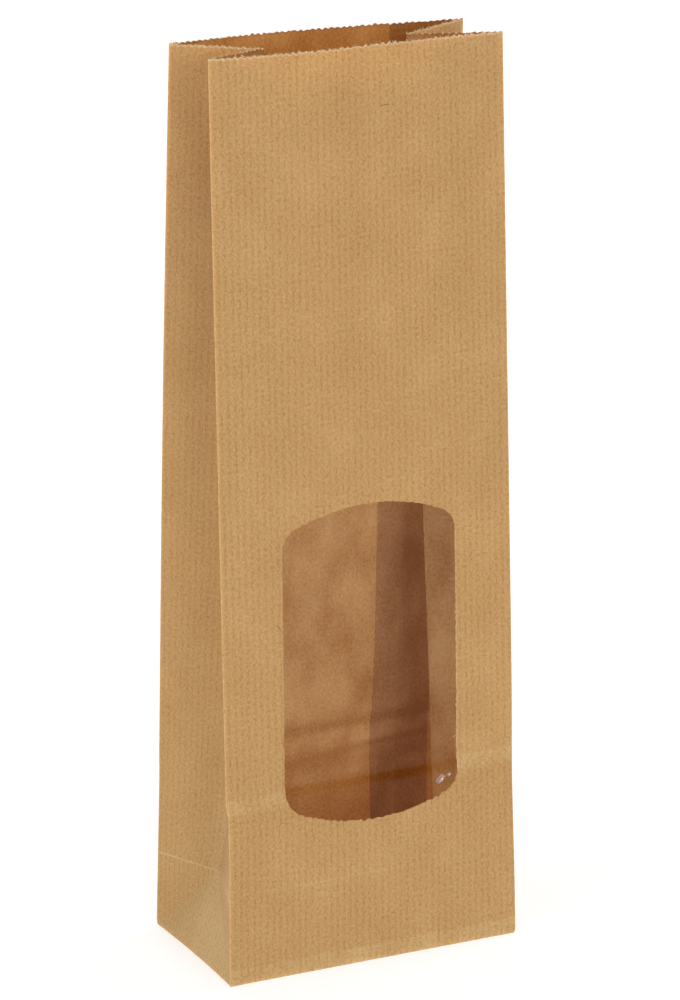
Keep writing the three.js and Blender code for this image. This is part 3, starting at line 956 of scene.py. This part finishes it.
# One fibre to a cell, turned at random and slightly bent.
def fibreMask(tree, place, cell, chance, size, offset):
    moved = addNode(tree, mapping, inputs={
        "Vector": place, "Scale": (1 / cell, 1 / cell, 1), "Location": (offset, offset / 2, 0)})
    cells = addNode(tree, "ShaderNodeTexVoronoi", {"voronoi_dimensions": "2D"}, {
        "Vector": moved, "Scale": 1.0, "Randomness": 0.8})
    local = addNode(tree, "ShaderNodeVectorMath", subtract, {0: moved, 1: cells.outputs["Position"]})
    dice = addNode(tree, "ShaderNodeSeparateColor", inputs={0: cells.outputs["Color"]})
    angle = addNode(tree, calc, multiply, {0: dice, 1: 2 * math.pi})
    turned = addNode(tree, "ShaderNodeVectorRotate", {"rotation_type": "Z_AXIS"}, {
        "Vector": local, "Angle": angle})
    axes = addNode(tree, parted, inputs={0: turned})
    square = addNode(tree, calc, multiply, {0: axes, 1: axes})
    most = fibreShape["curl"]
    curl = addNode(tree, mapRange, inputs={0: dice.outputs[1], 3: -most, 4: most})
    bent = addNode(tree, calc, multiplyAdd, {0: square, 1: curl, 2: axes.outputs[1]})
    across = addNode(tree, calc, absolute, {0: bent})
    endwise = addNode(tree, calc, absolute, {0: axes})
    full, none = [size[1] / cell * share for share in fibreShape["soft"]]
    wide = addNode(tree, mapRange, eased, {0: across, 1: full, 2: none, 3: 1.0, 4: 0.0})
    full, none = [size[0] / cell * share for share in fibreShape["taper"]]
    long = addNode(tree, mapRange, eased, {
        0: endwise, 1: full, 2: none, 3: fibreShape["strength"], 4: 0.0})
    there = addNode(tree, calc, under, {0: dice.outputs[2], 1: chance})
    mask = addNode(tree, calc, multiply, {0: wide, 1: long})
    return addNode(tree, calc, multiply, {0: mask, 1: there})


cutEdgeLook = {"grain": 2.2, "contrast": (0.36, 0.64), "bump": 0.03, "roughness": 0.8}  # per mm, mm


# Cut edge of the kraft: long sulphate fibres torn open by the knife. It gives the eye a pale, dry,
# uneven line, darker where the fibres are packed.
def cutEdgeMaterial(name, dark, light):
    material, tree = newMaterial(name)
    ground = addNode(tree, "ShaderNodeTexCoord")
    place = addNode(tree, "ShaderNodeVectorMath", {"operation": "SCALE"}, {
        0: ground.outputs["Object"], "Scale": 1 / mm})
    fibres = addNode(tree, noise, inputs={"Vector": place, "Scale": cutEdgeLook["grain"], "Detail": 2.0})
    low, high = cutEdgeLook["contrast"]
    share = addNode(tree, mapRange, inputs={0: fibres, 1: low, 2: high})
    colour = addNode(tree, mix, blended, {0: share, 6: linear(dark), 7: linear(light)}).outputs[2]
    torn = addNode(tree, "ShaderNodeBump", inputs={
        "Distance": cutEdgeLook["bump"] * mm, "Height": fibres})
    shader = addNode(tree, principled, inputs={
        "Base Color": colour, "Roughness": cutEdgeLook["roughness"], "Specular IOR Level": 0.2,
        "Normal": torn})
    addNode(tree, surfaceOut, inputs={"Surface": shader})
    return material


filmLook = {"plain": (0.009, 0.1), "creased": (0.2, 0.28)}  # share of gloss, its roughness


# Clear film: cast polypropylene, 0.03 mm, smooth and still. It gives the eye a faint veil, and a
# hard white glint where it is creased.
def filmMaterial(name, gloss, roughness):
    material, tree = newMaterial(name)
    clear = addNode(tree, "ShaderNodeBsdfTransparent")
    shine = addNode(tree, "ShaderNodeBsdfGlossy", inputs={"Roughness": roughness})
    mixed = addNode(tree, mixShader, inputs={0: gloss, 1: clear, 2: shine})
    addNode(tree, surfaceOut, inputs={"Surface": mixed})
    return material


kraftOutside = kraftMaterial("ribbedKraftPaper", False)
kraftInside = kraftMaterial("ribbedKraftPaperInside", True)
kraftCut = cutEdgeMaterial("cutKraftEdge", "#a47b4a", "#e6cfa3")
paleFibre = cutEdgeMaterial("looseKraftFibre", "#cfae7c", "#eddab4")
darkFibre = cutEdgeMaterial("darkKraftFibre", "#5f3d22", "#84592f")
filmPlain = filmMaterial("castPolypropyleneFilm", *filmLook["plain"])
filmCrease = filmMaterial("creasedPolypropyleneFilm", *filmLook["creased"])

# Loose fibres: a bent hair on each point of a list, scaled by its own length and tilted by chance

fibreForm = {
    "thickness": 0.1,
    "bend": 0.12,
    "mouthSpacing": 0.42,
    "mouthLength": (0.2, 0.65),
    "windowSpacing": 1.3,
    "windowLength": (0.1, 0.3),
    "windowOut": 8.0,  # how far they point out of the panel on the way to the window's middle
    "tilt": 62.0,  # degrees, at most
    "turn": 3.14,  # radians either way about its own length
    "seed": 3,
    # fibres on the front panel: along, up, degrees to the right of upright, length
    "pale": [(55.6, 49.0, 55.0, 1.3)],
    "dark": [
        (13.5, 80.1, -37.0, 1.9),
        (64.2, 5.2, 42.0, 1.1),
        (42.9, 194.6, 35.0, 1.2),
        (40.7, 191.8, 85.0, 2.2),
        (41.6, 199.4, 10.0, 0.4),
        (25.3, 199.6, 70.0, 0.4),
        (64.6, 42.3, 60.0, 0.35),
        (63.5, 12.7, 0.0, 0.35),
        (68.5, 20.6, 20.0, 0.3),
    ],
}


# Geometry Nodes that stand a hair on each point. Of the points' attributes, away is its direction
# and length, and loose is its share of the tilt.
def fibreTree():
    tree = bpy.data.node_groups.new("looseFibres", "GeometryNodeTree")
    sockets = {}
    for name, kind in (
        ("Geometry", "Geometry"), ("Thickness", "Float"), ("Bend", "Float"), ("Tilt", "Float"),
        ("Seed", "Int"), ("Material", "Material"),
    ):
        new = tree.interface.new_socket(name, in_out="INPUT", socket_type="NodeSocket" + kind)
        sockets[name] = new.identifier
    tree.interface.new_socket("Geometry", in_out="OUTPUT", socket_type="NodeSocketGeometry")
    given = addNode(tree, "NodeGroupInput").outputs
    joined, named = "ShaderNodeCombineXYZ", "GeometryNodeInputNamedAttribute"
    middle = addNode(tree, joined, inputs={0: given["Bend"], 2: 0.5 * mm})
    spine = addNode(tree, "GeometryNodeCurveQuadraticBezier", inputs={
        "Resolution": 4, "Start": (0, 0, 0), "Middle": middle, "End": (0, 0, mm)})
    section = addNode(tree, "GeometryNodeCurvePrimitiveCircle", inputs={
        "Resolution": 4, "Radius": given["Thickness"]})
    hair = addNode(tree, "GeometryNodeCurveToMesh", inputs={
        "Curve": spine, "Profile Curve": section, "Fill Caps": True})
    away = addNode(tree, named, {"data_type": "FLOAT_VECTOR"}, {"Name": "away"})
    loose = addNode(tree, named, {"data_type": "FLOAT"}, {"Name": "loose"})
    length = addNode(tree, "ShaderNodeVectorMath", {"operation": "LENGTH"}, {0: away})
    stand = addNode(tree, "FunctionNodeAlignRotationToVector", {"axis": "Z"}, {"Vector": away})
    most = addNode(tree, calc, multiply, {0: given["Tilt"], 1: loose})
    least = addNode(tree, calc, multiply, {0: most, 1: -1.0})
    high = addNode(tree, joined, inputs={0: most, 1: most, 2: fibreForm["turn"]})
    low = addNode(tree, joined, inputs={0: least, 1: least, 2: -fibreForm["turn"]})
    chance = addNode(tree, "FunctionNodeRandomValue", {"data_type": "FLOAT_VECTOR"}, {
        0: low, 1: high, "Seed": given["Seed"]})
    tilt = addNode(tree, "FunctionNodeEulerToRotation", inputs={0: chance})
    turned = addNode(tree, "FunctionNodeRotateRotation", {"rotation_space": "LOCAL"}, {0: stand, 1: tilt})
    size = addNode(tree, joined, inputs={0: 1.0, 1: 1.0, 2: length.outputs["Value"]})
    placed = addNode(tree, "GeometryNodeInstanceOnPoints", inputs={
        "Points": given["Geometry"], "Instance": hair, "Rotation": turned, "Scale": size})
    real = addNode(tree, "GeometryNodeRealizeInstances", inputs={0: placed})
    coloured = addNode(tree, "GeometryNodeSetMaterial", inputs={0: real, "Material": given["Material"]})
    addNode(tree, "NodeGroupOutput", inputs={0: coloured})
    return tree, sockets


# Points by chance along a closed line, each with a direction that is as long as its fibre.
def fibresAlong(line, spacing, lengths, away):
    closed = np.vstack([line, line[:1]])
    run = np.concatenate([[0.0], np.cumsum(np.linalg.norm(np.diff(closed, axis=0), axis=1))])
    at = rng.uniform(0, run[-1], int(run[-1] / spacing))
    points = np.stack([np.interp(at, run, closed[:, axis]) for axis in range(3)], axis=-1)
    size = rng.uniform(0, 1, len(at)) ** 2 * (lengths[1] - lengths[0]) + lengths[0]
    return points, away(points) * size[:, None]


# Fibres that lie on the front panel.
def fibresLying(places):
    spots, ways = [], []
    for along, up, turned, length in places:
        half = np.array([math.sin(math.radians(turned)), math.cos(math.radians(turned))]) * length / 2
        ends = np.array([along, up]) + np.outer([-1, 1], half)
        start, end = sheetPoint(ends[:, 0], ends[:, 1], False)
        spots.append(start + [0, -fibreForm["thickness"] * 0.4, 0])
        ways.append(end - start)
    return np.array(spots), np.array(ways)


# Each group holds points, ways and a share of tilt.
def buildFibres(name, groups, material):
    tree, sockets = fibreTree()
    points = np.concatenate([group[0] for group in groups]) * mm
    mesh = bpy.data.meshes.new(name + "Points")
    mesh.from_pydata(points.tolist(), [], [])
    ways = np.concatenate([group[1] for group in groups])
    mesh.attributes.new("away", "FLOAT_VECTOR", "POINT")
    mesh.attributes["away"].data.foreach_set("vector", ways.ravel())
    mesh.attributes.new("loose", "FLOAT", "POINT")
    looseness = np.concatenate([np.full(len(group[0]), group[2]) for group in groups])
    mesh.attributes["loose"].data.foreach_set("value", looseness)
    maker = bpy.data.objects.new(name + "Points", mesh)
    bpy.context.scene.collection.objects.link(maker)
    nodes = maker.modifiers.new("fibres", "NODES")
    nodes.node_group = tree
    nodes[sockets["Thickness"]] = fibreForm["thickness"] / 2 * mm
    nodes[sockets["Bend"]] = fibreForm["bend"] * mm
    nodes[sockets["Tilt"]] = math.radians(fibreForm["tilt"])
    nodes[sockets["Seed"]] = fibreForm["seed"]
    nodes[sockets["Material"]] = material
    bpy.context.view_layer.update()
    ready = maker.evaluated_get(bpy.context.evaluated_depsgraph_get())
    plain = bpy.data.meshes.new_from_object(ready)
    maker.modifiers.remove(nodes)
    bpy.data.objects.remove(maker)
    plain.materials.clear()  # the nodes leave an empty slot before the fibre's own material
    plain.materials.append(material)
    thing = bpy.data.objects.new(name, plain)
    bpy.context.scene.collection.objects.link(thing)
    return thing


def upward(points):
    return np.tile([0, 0, 1.0], (len(points), 1))


def towardWindow(points):
    inward = np.array([windowCut["middle"], 0, (windowCut["low"] + windowCut["high"]) / 2]) - points
    inward[:, 1] = -fibreForm["windowOut"]
    return inward / np.linalg.norm(inward, axis=1, keepdims=True)


paper, mouthLine, windowLine = buildPaper([kraftOutside, kraftInside, kraftCut])
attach(paper, "root")
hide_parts("paper_bag")
print("paper folded:", len(paper.data.polygons), "faces")

form = fibreForm
atMouth = fibresAlong(mouthLine, form["mouthSpacing"], form["mouthLength"], upward)
atWindow = fibresAlong(windowLine, form["windowSpacing"], form["windowLength"], towardWindow)
groups = [(*atMouth, 1.0), (*atWindow, 1.0), (*fibresLying(form["pale"]), 0.0)]
paleFibres = buildFibres("loose_fibres_visual", groups, paleFibre)
darkFibres = buildFibres("dark_fibres_visual", [(*fibresLying(form["dark"]), 0.0)], darkFibre)
for fibres in (paleFibres, darkFibres):
    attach(fibres, "root")
print("fibres scattered:", len(paleFibres.data.polygons), "faces")

filmPiece = buildFilm([filmPlain, filmCrease])
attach(filmPiece, "root")
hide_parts("window_film")
print("film made:", len(filmPiece.data.polygons), "faces")

# The studio: a glowing near-white floor, soft lights all round the bag and a white screen overhead

studio = {
    "floor": 6.0,
    "floorColour": "#cacaca",
    "floorGlow": 0.54,
    "overhead": 1.6,
    "screen": (0.82, 0.92),  # how steep a ray meets the screen overhead: edge and full strength
    "softBoxes": {  # degrees to the right of the front, degrees up, spread, strength
        "frontBox": (0.5, 9.0, 26.0, 1.31),
        "frontTop": (5.0, 50.0, 30.0, 0.36),
        "leftBox": (-85.0, 25.0, 40.0, 1.05),
        "leftFrontBox": (-62.0, 18.0, 25.0, 0.55),
        "rightBox": (95.0, 20.0, 40.0, 1.45),
        "backBox": (176.0, 12.0, 40.0, 2.1),
    },
    "camera": (-0.40498, -0.82926, 0.37953),
    "turn": 26.096,  # degrees, to the right of +Y
    "down": 16.761,
    "roll": -0.058,
    "lens": 157.68,
}

floorMesh = bpy.data.meshes.new("studioFloor")
reach = studio["floor"]
floorCorners = [(-reach, -reach, 0), (reach, -reach, 0), (reach, reach, 0), (-reach, reach, 0)]
floorMesh.from_pydata(floorCorners, [], [(0, 1, 2, 3)])
floorLook, tree = newMaterial("paleStudioFloor")
base = addNode(tree, "ShaderNodeBsdfDiffuse", inputs={"Color": linear(studio["floorColour"])})
lit = addNode(tree, "ShaderNodeEmission", inputs={"Strength": studio["floorGlow"]})
both = addNode(tree, "ShaderNodeAddShader", inputs={0: base, 1: lit})
addNode(tree, surfaceOut, inputs={"Surface": both})
floorMesh.materials.append(floorLook)
floor = bpy.data.objects.new("studioFloor", floorMesh)
bpy.context.scene.collection.objects.link(floor)

# The world is dark all round, with a large white screen overhead
world = bpy.data.worlds.new("studio")
bpy.context.scene.world = world
world.use_nodes = True
tree = world.node_tree
tree.nodes.clear()
ray = addNode(tree, "ShaderNodeTexCoord")
rayParts = addNode(tree, parted, inputs={0: ray.outputs["Generated"]})
edge, full = studio["screen"]
overhead = addNode(tree, mapRange, eased, {
    0: rayParts.outputs[2], 1: edge, 2: full, 3: 0.0, 4: studio["overhead"]})
sky = addNode(tree, "ShaderNodeBackground", inputs={"Strength": overhead})
addNode(tree, "ShaderNodeOutputWorld", inputs={"Surface": sky})

for name, (side, high, spread, power) in studio["softBoxes"].items():
    light = bpy.data.lights.new(name, "SUN")
    light.angle = math.radians(spread)
    light.energy = power
    box = bpy.data.objects.new(name, light)
    side, high = math.radians(side), math.radians(high)
    toward = Vector((math.sin(side) * math.cos(high), -math.cos(side) * math.cos(high), math.sin(high)))
    box.rotation_euler = toward.to_track_quat("Z", "Y").to_euler()
    bpy.context.scene.collection.objects.link(box)

camera = bpy.data.cameras.new("camera")
camera.sensor_width = 36
camera.lens = studio["lens"]
cameraObject = bpy.data.objects.new("camera", camera)
cameraObject.location = studio["camera"]
turn, down = math.radians(studio["turn"]), math.radians(studio["down"])
forward = Vector((math.sin(turn) * math.cos(down), math.cos(turn) * math.cos(down), -math.sin(down)))
cameraObject.rotation_mode = "QUATERNION"
upright = forward.to_track_quat("-Z", "Y")
cameraObject.rotation_quaternion = upright @ Quaternion((0, 0, 1), math.radians(studio["roll"]))
bpy.context.scene.collection.objects.link(cameraObject)
bpy.context.scene.camera = cameraObject
bpy.context.scene.view_settings.view_transform = "Standard"
print("studio set")
